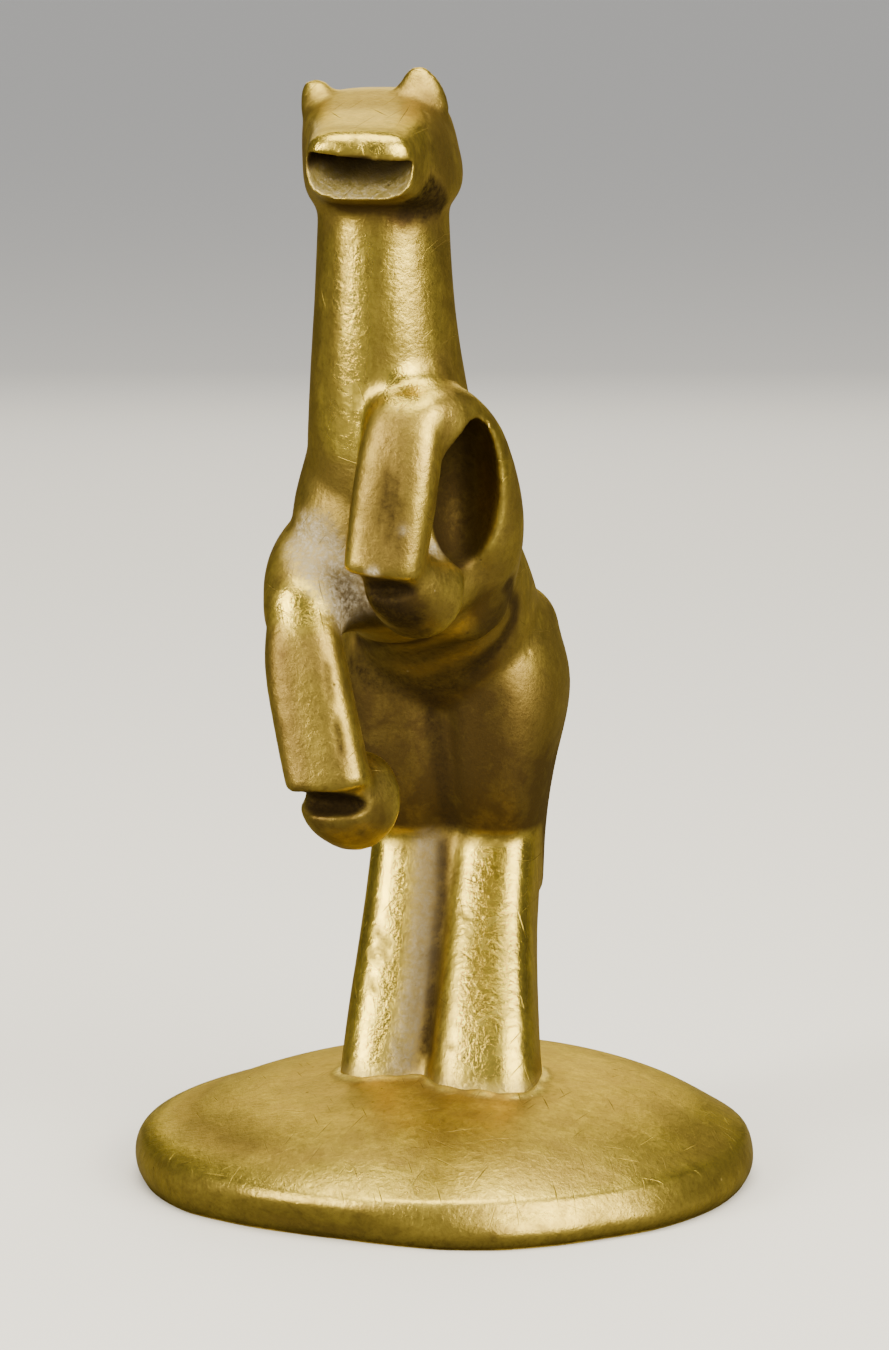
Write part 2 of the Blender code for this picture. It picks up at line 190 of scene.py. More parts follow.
# The head, in its own frame and in the same shares: x across, y negative towards the nose, z up
# from the level of the poll. The frame is then dipped and turned onto the neck.
HEAD_PLACE = (-1.7, -14.5, 98.5)
HEAD_TURN = math.radians(5.0)  # to the horse's left
HEAD_DIP = math.radians(12.5)  # nose below the poll
HEAD_PARTS = {
    "skull": (
        (-0.6, -1.4, -5.3, 6.6, 5.0, 3.9, 0.12),
        (-0.5, -4.0, -5.6, 7.35, 5.6, 3.8, 0.14),
        (-0.15, -9.0, -5.4, 7.05, 5.4, 3.8, 0.14),
        (0.0, -14.0, -4.3, 5.9, 4.3, 3.8, 0.08),
        (-0.05, -18.0, -3.5, 5.2, 3.5, 3.7, 0.03),
        (-0.05, -20.4, -3.2, 4.95, 3.1, 3.5, 0.0),
        (0.4, 0.5),
    ),
    "jaw": (
        (0.0, -10.0, -5.6, 5.4, 2.8, 2.8),
        (0.0, -15.0, -5.2, 4.8, 2.2, 3.0),
        (0.0, -18.6, -4.8, 4.6, 2.2, 3.0),
        (0.3, 0.4),
    ),
    "left_ear": (
        (3.5, -6.0, -1.6, 3.0, 1.8, 2.4),
        (3.4, -4.8, 0.2, 2.35, 1.1, 2.3),
        (3.2, -4.0, 1.7, 1.2, 0.7, 2.1),
        (0.3, 0.8),
    ),
    "right_ear": (
        (-5.9, -5.6, -1.6, 1.95, 1.9, 3.2),
        (-6.45, -4.6, -0.2, 1.4, 1.1, 3.6),
        (-6.5, -4.0, 0.4, 1.15, 0.8, 3.8),
        (0.3, 0.4),
    ),
}
# The open mouth: a scoop that runs back from in front of the lips, flat under the palate.
MOUTH_ROOF = -2.2
MOUTH_SLOPE = 0.09
MOUTH_SCOOP = (
    (0.0, -24.0, -2.2, 5.2, 4.5, 2.8),
    (0.0, -20.8, -2.2, 4.95, 4.35, 2.8),
    (0.0, -18.6, -2.2, 4.65, 3.7, 2.7),
    (0.0, -16.6, -2.2, 4.1, 2.6, 2.5),
    (0.0, -15.0, -2.2, 3.2, 1.2, 2.3),
    (0.1, 0.3),
)

# What is inside it, in the head's frame, and the axis that its walls face.
MOUTH_LOW = (-5.4, -23.0, -7.4)
MOUTH_HIGH = (5.4, -14.0, -2.0)
MOUTH_AXIS = (0.0, 0.0, -3.6)
LIP_SOFTENING = 3  # times that the skin is smoothed once the mouth is cut

# Hollows scooped out of the skin: middle and half sizes in the same shares, and turns about X
# and Z. The first is the dish in the raised arm, the others are the slots under the cannons.
HOLLOWS = (
    ((6.9, -20.8, 60.0), (3.4, 6.0, 7.6), math.radians(12), math.radians(20)),
    ((0.2, -30.0, 51.6), (4.4, 2.9, 0.9), math.radians(-10), 0.0),
    ((-4.9, -30.0, 31.1), (4.9, 3.4, 1.15), math.radians(-10), 0.0),
    ((-10.0, -27.4, 31.3), (3.4, 5.0, 1.0), math.radians(-6), 0.0),
)

# Places where the skin is rounded off more: point, reach in shares and how many times. The more
# the soft edge is over 1, the further the full strength goes.
SOFT_EDGE = 1.6
SOFTENED = (
    ((10.4, -20.0, 60.0), 6.3, 80),
    ((3.0, -25.0, 69.4), 5.5, 50),
    ((-7.9, -24.8, 49.6), 5.0, 40),
    ((0.5, -8.0, 44.0), 8.0, 12),
    ((-6.0, -24.0, 90.0), 7.0, 10),
)

RINGS_PER_STRETCH = 8
RING_POINTS = 56
CAP_RINGS = 7
SMALLEST_RING = 0.03  # share of the full size, at the tip of an end

# The camera stands a little to the horse's left of straight ahead.
PICTURE = (889, 1350)
VIEW_TURN = math.radians(13)
EYE_AWAY = 0.465
AIM_ASIDE = 0.00018
EYE = Vector((math.sin(VIEW_TURN) * EYE_AWAY, -math.cos(VIEW_TURN) * EYE_AWAY, 0.1209))
AIM = Vector((math.cos(VIEW_TURN) * AIM_ASIDE, math.sin(VIEW_TURN) * AIM_ASIDE, 0.0505))
LENS = 125.8
SENSOR = 36.0

# Scratches: turn of the sheet they are drawn on, cells to a metre and width as a share of a cell.
FIGURE_STROKES = (
    ((1.57, 0.0, 0.35), 1500.0, 0.075),
    ((1.57, 0.0, -0.7), 1900.0, 0.075),
    ((1.57, 0.0, 1.3), 1300.0, 0.065),
)
BASE_STROKES = (
    ((0.0, 0.0, 0.3), 1500.0, 0.10),
    ((0.0, 0.0, 1.1), 1900.0, 0.10),
    ((0.0, 0.0, 2.0), 1300.0, 0.09),
    ((0.0, 0.0, 2.7), 1700.0, 0.10),
)
# How much the flecks are squeezed along each axis, how dull the metal is, how deep its relief.
FIGURE_LOOK = (FIGURE_STROKES, (1.0, 1.0, 0.14), 0.38, 0.05 * MM)
BASE_LOOK = (BASE_STROKES, (0.6, 1.0, 1.0), 0.42, 0.045 * MM)


def length(name, description, value):
    return FloatProperty(name=name, description=description, default=value, unit="LENGTH")


class FigureSizes(bpy.types.PropertyGroup):
    """Sizes of the cast horse."""

    height: length("Figure Height", "From the crown of the base to the tip of the ears", 0.1)
    fineness: length("Skin Fineness", "Cells that the horse's parts are fused in", 0.36 * MM)
    softening: IntProperty(
        name="Softening", description="How many times the fused skin is smoothed", default=7
    )
    seat_depth: length("Seat Depth", "How far the hind feet are let into the crown", 0.8 * MM)


class BaseSizes(bpy.types.PropertyGroup):
    """Sizes of the domed round base."""

    radius: length("Radius", "Half the base's width", BASE_HIGH.x)
    crown: length("Crown", "Height of the dome's middle", BASE_HIGH.z)
    rim_height: length("Rim Height", "Where the rounded rim meets the dome", 4.8 * MM)
    rim_round: length("Rim Rounding", "How far the rim's upper corner rounds inwards", 1.3 * MM)
    foot_chamfer: length("Foot Chamfer", "How far the underside's edge is set in", 0.8 * MM)
    fullness: FloatProperty(
        name="Dome Fullness", description="2 is a parabola, more is flatter", default=2.7
    )
    unevenness: length("Unevenness", "How far the filed rim strays from a circle", 0.25 * MM)
    bead: length("Solder Bead", "Height of the solder round the hind feet", 0.4 * MM)


def colour(name, description, value):
    return FloatVectorProperty(
        name=name, description=description, default=value, size=3, subtype="COLOR", min=0, max=1
    )


class BrassColours(bpy.types.PropertyGroup):
    """Colours of the brass and of what has settled on it."""

    # Bare brass where handling keeps it so, also laid on as painted highlight.
    bright: colour("Bright Brass", "Brass that handling keeps bare", (0.81, 0.62, 0.09))
    aged: colour("Aged Brass", "Brass under a thin olive film", (0.41, 0.285, 0.062))
    figure_film: colour("Figure Film", "Older film on the horse", (0.33, 0.25, 0.05))
    base_film: colour("Base Film", "Older film on the base", (0.42, 0.295, 0.055))
    # Brown patina, also used as painted shade under the jaw, on the hooves, belly and thighs, and
    # on the base's undersides and steep rim.
    brown_and_shade: colour("Brown Patina", "Thick patina in sheltered places", (0.088, 0.054, 0.014))
    # Near black dirt, also used as painted shade in the slots, the arm's dish, the mouth, under the
    # jaw and along the belly.
    grime_and_shade: colour("Grime", "Dirt at the bottom of hollows", (0.025, 0.015, 0.006))
    dust: colour("Dust", "Pale dust and polish left behind", (0.36, 0.31, 0.22))
    solder: colour("Solder", "Crusty solder round the feet", (0.24, 0.19, 0.095))
    floor: colour("Floor", "Plain pale floor", (0.62, 0.61, 0.59))


def one_share():
    """A hundredth of the figure's height, in metres."""
    return bpy.context.scene.figure_sizes.height / 100


def shares():
    """From hundredths of the figure's height, above the crown, to metres."""
    crown = bpy.context.scene.base_sizes.crown
    return Matrix.Translation((0, 0, crown)) @ Matrix.Scale(one_share(), 4)


def head_frame():
    """From the head's own shares to the figure's: dipped, turned and set on the neck."""
    return (
        Matrix.Translation(HEAD_PLACE)
        @ Matrix.Rotation(HEAD_TURN, 4, "Z")
        @ Matrix.Rotation(HEAD_DIP, 4, "X")
    )


def hollow_frame(middle, half_sizes, tip, turn):
    """From a ball of unit radius to a hollow, in the figure's shares."""
    return (
        Matrix.Translation(middle)
        @ Matrix.Rotation(turn, 4, "Z")
        @ Matrix.Rotation(tip, 4, "X")
        @ Matrix.Diagonal((*half_sizes, 1))
    )


def deselect():
    if bpy.context.object and bpy.context.object.mode != "OBJECT":
        bpy.ops.object.mode_set(mode="OBJECT")
    bpy.ops.object.select_all(action="DESELECT")


def only(piece):
    deselect()
    piece.select_set(True)
    bpy.context.view_layer.objects.active = piece


def smooth_stations(stations):
    """Points on a Catmull-Rom curve through the stations, in all their values at once."""
    values = np.array(stations, float)
    padded = np.vstack([2 * values[0] - values[1], values, 2 * values[-1] - values[-2]])
    found = []
    for a, b, c, d in zip(padded, padded[1:], padded[2:], padded[3:]):
        for t in np.arange(RINGS_PER_STRETCH) / RINGS_PER_STRETCH:
            bend = (2 * a - 5 * b + 4 * c - d) * t**2 + (3 * b - a - 3 * c + d) * t**3
            found.append(0.5 * (2 * b + (c - a) * t + bend))
    return np.array(found + [values[-1]])


def section(half_width, half_depth, squareness, flare=0.0):
    """Points of a superellipse, anticlockwise. The side towards +X is wider in front by the share
    that flare gives, and as much narrower behind."""
    turn = np.arange(RING_POINTS) * 2 * math.pi / RING_POINTS
    power = 2 / squareness
    across = half_width * np.sign(np.cos(turn)) * np.abs(np.cos(turn)) ** power
    along = half_depth * np.sign(np.sin(turn)) * np.abs(np.sin(turn)) ** power
    across *= np.where(across > 0, 1 + flare * along / half_depth, 1)
    return across, along


def rings_of(stations, start_round, end_round):
    """Rings of points through the stations. Each end is closed by a dome as long as the given
    share of its half depth."""
    path = smooth_stations(stations)
    tangents = np.gradient(path[:, :3], axis=0)
    ends = []
    for place, tangent, swell in (
        (path[0], -tangents[0], start_round),
        (path[-1], tangents[-1], end_round),
    ):
        out = tangent / np.linalg.norm(tangent)
        dome = []
        for angle in np.linspace(0, math.pi / 2, CAP_RINGS + 1)[1:]:
            ring = place.copy()
            ring[:3] += out * math.sin(angle) * swell * place[4]
            ring[3:5] *= max(math.cos(angle), SMALLEST_RING)
            dome.append(ring)
        ends.append(dome)
    path = np.vstack([ends[0][::-1], path, ends[1]])
    tangents = np.vstack([[tangents[0]] * CAP_RINGS, tangents, [tangents[-1]] * CAP_RINGS])
    rings = []
    for station, tangent in zip(path, tangents):
        ahead = Vector(tangent).normalized()
        side = Vector((1, 0, 0))
        side = (side - ahead * side.dot(ahead)).normalized()
        front = side.cross(ahead)
        across, along = section(*station[3:])
        middle = Vector(station[:3])
        rings.append([middle + side * a + front * b for a, b in zip(across, along)])
    return rings


def finish_editing():
    bpy.ops.mesh.select_all(action="SELECT")
    bpy.ops.mesh.normals_make_consistent(inside=False)
    bpy.ops.object.mode_set(mode="OBJECT")


def extrude_ring(piece, row, points):
    """Extrudes the selected cap of a tube and lays the new ring on the given points."""
    bpy.ops.mesh.extrude_region()
    shape = bmesh.from_edit_mesh(piece.data)
    shape.verts.ensure_lookup_table()
    first_new = len(shape.verts) - len(row)
    new_row = []
    for index, point in zip(row, points):
        corner = shape.verts[index]
        joined = (edge.other_vert(corner) for edge in corner.link_edges)
        above = next(other for other in joined if other.index >= first_new)
        above.co = point
        new_row.append(above.index)
    return new_row


def loft(name, stations, place):
    """A closed tube through the stations: a disc extruded ring by ring in edit mode."""
    rings = [[place @ point for point in ring] for ring in rings_of(stations[:-1], *stations[-1])]
    deselect()
    bpy.ops.mesh.primitive_circle_add(vertices=RING_POINTS, radius=MM, fill_type="NGON")
    piece = bpy.context.object
    piece.name = name
    bpy.ops.object.mode_set(mode="EDIT")
    shape = bmesh.from_edit_mesh(piece.data)
    shape.verts.ensure_lookup_table()
    for corner, point in zip(shape.verts, rings[0]):
        corner.co = point
    row = list(range(RING_POINTS))
    for points in rings[1:]:
        row = extrude_ring(piece, row, points)
    finish_editing()
    return piece


def ball(place):
    """A ball of unit radius carried to its place, for scooping."""
    deselect()
    bpy.ops.mesh.primitive_uv_sphere_add(segments=64, ring_count=32, radius=1)
    made = bpy.context.object
    made.name = "hollow"
    made.data.transform(place)
    return made


def modify(piece, kind, **settings):
    """Adds a modifier with its settings and applies it."""
    only(piece)
    modifier = piece.modifiers.new(kind.lower(), kind)
    for key, value in settings.items():
        setattr(modifier, key, value)
    bpy.ops.object.modifier_apply(modifier=modifier.name)


def scoop_out(piece, cutter):
    modify(piece, "BOOLEAN", operation="DIFFERENCE", solver="EXACT", object=cutter)
    bpy.data.objects.remove(cutter)


def fuse(piece, cell):
    modify(piece, "REMESH", mode="VOXEL", voxel_size=cell)


def soften(piece, steps):
    modify(piece, "SMOOTH", factor=0.5, iterations=steps)


def bisect_away(piece, point, normal):
    """Cuts off what lies on the normal's side of a plane, and closes the cut."""
    only(piece)
    bpy.ops.object.mode_set(mode="EDIT")
    bpy.ops.mesh.select_all(action="SELECT")
    bpy.ops.mesh.bisect(plane_co=point, plane_no=normal, use_fill=True, clear_outer=True)
    bpy.ops.object.mode_set(mode="OBJECT")


def relax(piece, places):
    """Rounds off the skin round each place: a point in shares, its reach and how many times."""
    surface = Surface(piece)
    for middle, reach, steps in places:
        away = np.linalg.norm(surface.points - np.array(shares() @ Vector(middle)), axis=1)
        share = ease(SOFT_EDGE * (1 - away / (reach * one_share())))[:, None]
        for _ in range(steps):
            surface.points += share * (surface.averaged(surface.points, 1) - surface.points)
    surface.write()


class Surface:
    """The points and normals of a piece's skin, for modelling it as clay is worked."""

    def __init__(self, piece):
        self.piece = piece
        self.mesh = piece.data
        count = len(self.mesh.vertices)
        self.points = np.empty(count * 3)
        self.mesh.vertices.foreach_get("co", self.points)
        self.points = self.points.reshape(-1, 3)
        edges = np.empty(len(self.mesh.edges) * 2, int)
        self.mesh.edges.foreach_get("vertices", edges)
        self.edges = edges.reshape(-1, 2)
        self.degree = np.bincount(self.edges.ravel(), minlength=count).astype(float)
        self.read_normals()

    def read_normals(self):
        flat = np.empty(len(self.points) * 3)
        self.mesh.vertex_normals.foreach_get("vector", flat)
        self.normals = flat.reshape(-1, 3)

    def write(self):
        self.mesh.vertices.foreach_set("co", self.points.ravel())
        self.mesh.update()
        self.read_normals()

    def averaged(self, values, steps):
        """Values evened out between neighbours, so many times."""
        a, b = self.edges.T
        values = values.copy()
        columns = values.reshape(len(values), -1)
        for _ in range(steps):
            for column in columns.T:
                total = np.bincount(a, column[b], len(column))
                total += np.bincount(b, column[a], len(column))
                column[:] = 0.5 * column + 0.5 * total / self.degree
        return values

    def standing(self, steps):
        """How far each point stands proud of the evened skin in metres, below 0 in a hollow."""
        return np.einsum("ij,ij->i", self.points - self.averaged(self.points, steps), self.normals)

    def keep(self, name, values):
        """Stores values as a named attribute of the piece."""
        made = self.mesh.attributes.new(name, "FLOAT", "POINT")
        made.data.foreach_set("value", np.clip(values, 0, 1).astype(np.float32))


def ease(share):
    share = np.clip(share, 0, 1)
    return share * share * (3 - 2 * share)


def ramp(values, start, width):
    """0 up to the start and 1 from so far beyond it, with a soft step between."""
    return ease((values - start) / width)


def distance_to_line(points, line):
    """Distance from each point to a line of straight stretches."""
    best = np.full(len(points), np.inf)
    line = np.array(line, float)
    if len(line) == 1:
        return np.linalg.norm(points - line[0], axis=1)
    for start, end in zip(line, line[1:]):
        along = end - start
        share = np.clip((points - start) @ along / max(along @ along, 1e-12), 0, 1)
        best = np.minimum(best, np.linalg.norm(points - start - share[:, None] * along, axis=1))
    return best


def seen(tree, across, down):
    """Where the sight line through a point of the picture meets the skin."""
    forward = (AIM - EYE).normalized()
    right = forward.cross(Vector((0, 0, 1))).normalized()
    up = right.cross(forward)
    focal = LENS / SENSOR * PICTURE[1]
    ray = forward * focal + right * (across - PICTURE[0] / 2) - up * (down - PICTURE[1] / 2)
    place = tree.ray_cast(EYE, ray.normalized())[0]
    if place is None:
        raise RuntimeError(f"nothing is seen at {across}, {down}")
    return place


def skin_tree(piece):
    return BVHTree.FromObject(piece, bpy.context.evaluated_depsgraph_get())


# What is worked into the skin follows lines through points of the picture. First the marks
# pressed in: the line, width and depth in millimetres, and how black with dirt.
MARKS = (
    (((376, 931), (390, 945)), 0.4, 0.05, 0.9),
    (((378, 946), (387, 957)), 0.4, 0.05, 0.9),
    (((369, 951), (378, 962)), 0.4, 0.05, 0.8),
    (((369, 978), (376, 992)), 0.4, 0.06, 0.8),
    (((459, 911), (467, 917)), 0.4, 0.08, 0.9),
    (((446, 1044), (453, 1048)), 0.4, 0.08, 0.8),
    (((433, 1070), (438, 1070)), 0.4, 0.12, 0.0),
    (((356, 141), (356, 147)), 0.4, 0.14, 0.0),
    (((425, 112), (428, 120)), 0.4, 0.14, 0.0),
    (((449, 160), (450, 167)), 0.35, 0.12, 0.0),
    (((527, 651), (529, 653)), 0.4, 0.15, 0.0),
    (((326, 664), (330, 700)), 0.5, 0.05, 0.9),
    (((336, 722), (341, 752)), 0.6, 0.07, 1.0),
    (((388, 470), (380, 522)), 0.6, 0.05, 0.8),
    (((397, 478), (388, 542)), 0.6, 0.06, 0.0),
    (((403, 500), (398, 558)), 0.5, 0.04, 0.7),
    (((510, 585), (519, 606), (504, 640), (474, 670)), 2.4, 0.25, 0.0),
    (((492, 602), (495, 616), (484, 638), (464, 656)), 2.0, 0.12, 0.0),
    (((356, 640), (390, 645), (430, 638)), 1.6, 0.22, 0.0),
)
# Rubbed bright, and painted highlights: the knee tops and hind cannons are worn bare, while the
# strokes along the neck, forehead and upper lip lay bright brass where the lights' highlights fall.
# The line, reach in millimetres and strength.
POLISHED_AND_HIGHLIGHTS = (
    (((408, 388),), 4.5, 1.0),
    (((300, 606),), 4.5, 1.0),
    (((352, 250), (350, 330), (344, 430)), 4.5, 0.9),
    (((405, 250), (412, 330)), 5.5, 0.7),
    (((335, 118), (395, 122)), 5.0, 0.5),
    (((325, 140), (390, 142)), 2.5, 1.0),
    (((385, 850), (375, 1045)), 5.0, 0.9),
    (((500, 850), (490, 1045)), 7.0, 0.9),
    (((315, 690), (325, 780)), 3.0, 0.4),
)
# Brown patina, with painted shade: the strokes under the jaw and chin, down the neck between its
# highlights, on the hoof fronts, along the belly and brisket, in the valley between the hind
# cannons and between hoof and haunch darken where shade falls. The line, reach in millimetres and
# strength.
BROWNED_AND_SHADED = (
    (((436, 112), (442, 140), (447, 165)), 4.2, 0.75),
    (((306, 100), (305, 170)), 1.2, 0.6),
    (((430, 205), (405, 210)), 4.0, 1.0),
    (((330, 203), (395, 206)), 2.6, 1.0),
    (((444, 845), (442, 900), (437, 950), (433, 1000), (430, 1050)), 1.5, 1.0),
    (((430, 842), (428, 900), (422, 960), (412, 1020), (400, 1062)), 3.0, 0.7),
    (((336, 226), (400, 224), (436, 222)), 2.6, 0.6),
    (((425, 840), (400, 846)), 1.6, 0.6),
    (((455, 838), (508, 838)), 1.2, 0.7),
    (((342, 240), (334, 330), (334, 412)), 1.8, 0.6),
    (((418, 250), (424, 370)), 1.6, 0.45),
    (((372, 230), (376, 330), (372, 400)), 1.6, 0.35),
    (((388, 585), (400, 605), (412, 622)), 4.6, 1.0),
    (((338, 826), (352, 836)), 3.0, 0.5),
    (((430, 600), (432, 616)), 2.5, 0.7),
    (((360, 655), (420, 675), (470, 645), (500, 610)), 5.0, 0.7),
    (((350, 630), (420, 630)), 3.0, 0.6),
    (((385, 440), (378, 500), (384, 560)), 4.5, 0.65),
    (((400, 520), (396, 560)), 3.5, 0.5),
    (((276, 640), (286, 720), (298, 780)), 2.6, 0.8),
    (((312, 650), (335, 780)), 3.6, 0.5),
    (((315, 822), (350, 822)), 4.0, 0.6),
    (((330, 832), (372, 826)), 4.5, 0.8),
    (((485, 600), (505, 640), (480, 670)), 4.0, 0.8),
    (((335, 480), (342, 520)), 4.0, 0.45),
    (((548, 610), (552, 700)), 3.0, 0.4),
    (((480, 560), (500, 585)), 3.5, 0.5),
    (((514, 470), (514, 520)), 2.2, 0.5),
)
# Painted shade, near black, besides the marks: under the jaw, on the hoof fronts, along the belly's
# lower edge and brisket, down the valley between the hind cannons and at the hock line; dirt in the
# mark on the left cannon.
SHADED_AND_SOILED = (
    (((431, 184), (440, 207)), 1.9, 1.0),
    (((424, 192), (426, 211)), 1.9, 1.0),
    (((413, 200), (408, 213)), 1.7, 1.0),
    (((352, 664), (400, 683), (427, 690), (456, 684), (492, 652)), 1.4, 0.8),
    (((378, 596), (392, 610), (404, 620)), 3.4, 1.0),
    (((352, 625), (420, 634)), 2.4, 0.8),
    (((360, 668), (427, 690), (470, 672)), 3.4, 0.75),
    (((442, 845), (440, 900), (434, 950), (430, 1000), (426, 1050)), 1.1, 0.85),
    (((436, 842), (432, 900), (426, 960), (418, 1020), (410, 1055)), 2.2, 0.5),
    (((385, 837), (430, 837)), 1.0, 0.55),
    (((462, 837), (515, 837)), 1.0, 0.55),
    (((365, 645), (420, 655), (470, 640), (503, 610)), 2.6, 0.7),
    (((336, 205), (395, 207)), 1.2, 0.5),
    (((430, 700), (440, 760), (452, 822)), 1.8, 0.8),
    (((397, 478), (388, 542)), 0.7, 0.8),
    (((360, 832), (430, 834)), 0.8, 0.7),
    (((465, 832), (535, 832)), 0.8, 0.7),
)
# Blushed brown on the base.
BASE_BROWNED = (
    (((200, 1125), (235, 1145)), 6.0, 0.55),
    (((155, 1175), (205, 1205)), 3.0, 0.7),
    (((680, 1120), (715, 1150)), 5.0, 0.45),
    (((300, 1085), (340, 1100)), 5.0, 0.35),
)
# Painted highlights on the base, laid on as worn brass: a patch on the front of the dome, a softer
# one in its middle, and a line along the top of the rim in front where the light catches it.
BASE_RUBBED_AND_HIGHLIGHTS = (
    (((322, 1180), (400, 1190), (490, 1200)), 5.0, 0.9),
    (((420, 1130), (520, 1150)), 6.0, 0.5),
    (((230, 1195), (300, 1212), (400, 1222), (520, 1222), (640, 1200)), 1.6, 1.0),
)
# Pale dust and lint.
DUSTED = (
    (((310, 540), (330, 575), (345, 605)), 3.8, 0.95),
    (((434, 551),), 1.6, 0.8),
    (((428, 842), (426, 900), (420, 960), (410, 1020), (400, 1062)), 2.0, 0.5),
    (((372, 573),), 0.9, 1.0),
    (((403, 530),), 0.5, 0.9),
)


STROKE_EDGE = 1.5  # the more this is over 1, the further a stroke's full strength goes


def painted(surface, tree, lines):
    """Strength of a list of soft strokes at each point of the skin."""
    found = np.zeros(len(surface.points))
    for places, reach, strength in lines:
        away = distance_to_line(surface.points, [seen(tree, *place) for place in places])
        found = np.maximum(found, strength * ease(STROKE_EDGE * (1 - away / (reach * MM))))
    return found


def scooped(surface, hollow):
    """How far each point lies outside a hollow's ball, as a share of its radius."""
    inverse = np.array((shares() @ hollow_frame(*hollow)).inverted())
    return np.linalg.norm(surface.points @ inverse[:3, :3].T + inverse[:3, 3], axis=1) - 1


def mouth_lining(surface):
    """Share of each point that belongs to the inside of the mouth, and how low it lies there."""
    inverse = np.array((shares() @ head_frame()).inverted())
    turned = surface.normals @ inverse[:3, :3].T * one_share()
    local = surface.points @ inverse[:3, :3].T + inverse[:3, 3]
    towards = (np.array(MOUTH_AXIS) - local) * [1, 0, 1]
    towards /= np.linalg.norm(towards, axis=1)[:, None]
    within = ((local > MOUTH_LOW) & (local < MOUTH_HIGH)).all(axis=1)
    facing = ramp(np.einsum("ij,ij->i", turned, towards), 0.1, 0.4)
    back = ramp(local[:, 1], -19.0, 3.0)
    return within * facing, ease((-2.9 - local[:, 2]) / 1.3) * (1 - 0.75 * back)


def carve_marks(surface, tree):
    """Presses the nicks and file marks into the skin."""
    for places, width, depth, _ in MARKS:
        line = [seen(tree, *place) for place in places]
        away = distance_to_line(surface.points, line)
        surface.points -= surface.normals * (ease(1 - away / (width * MM)) * depth * MM)[:, None]


# Rays that feel for metal near a point: how many in a ring, and their tilt from the normal.
FEELERS = ((5, 0.45), (7, 0.95))
FEELER_START = 0.15  # millimetres above the skin


def shelter(surface, tree, reach):
    """Share of the directions in front of each point in which other metal stands close by."""
    spread = []
    for ring, tilt in FEELERS:
        for step in range(ring):
            turn = (step + 0.5 * ring % 1) * 2 * math.pi / ring
            aside = math.sin(tilt)
            spread.append((aside * math.cos(turn), aside * math.sin(turn), math.cos(tilt)))
    normals = surface.normals
    helper = np.where(np.abs(normals[:, [2]]) < 0.9, [[0.0, 0.0, 1.0]], [[1.0, 0.0, 0.0]])
    side = np.cross(helper, normals)
    side /= np.linalg.norm(side, axis=1)[:, None]
    front = np.cross(normals, side)
    starts = surface.points + normals * FEELER_START * MM
    found = np.zeros(len(normals))
    for x, y, z in spread:
        directions = side * x + front * y + normals * z
        hits = (tree.ray_cast(*ray, reach)[3] for ray in zip(starts, directions))
        near = np.array([reach if hit is None else hit for hit in hits])
        found += 1 - near / reach
    return surface.averaged(found / len(spread), 5)


# Steps of evening over which the skin's edges and creases stand out, and its limbs and muscles.
EDGE_STEPS = 12
FORM_STEPS = 160
SHELTER_REACH = 14 * MM
HOCK = 22.9  # height of the hocks in front, in shares


def shaded_thighs(surface, rise):
    """Where the thighs get painted shade, as if they mirrored dark surroundings: down to the hocks
    in front, and to their ends behind; and how much their outer sides are spared it. The rise is
    each point's height in shares."""
    x, y = surface.points[:, 0] / MM, surface.points[:, 1] / MM
    hocks = HOCK - 10 * ramp(y, 6, 5)
    thighs = ramp(rise, hocks, 0.6) * (1 - ramp(rise, 36, 8)) * ramp(y, -15, 3)
    return thighs, np.maximum(ramp(x, 6.5, 4), ramp(-x, 9.5, 2)) * ramp(rise, 28, 8)


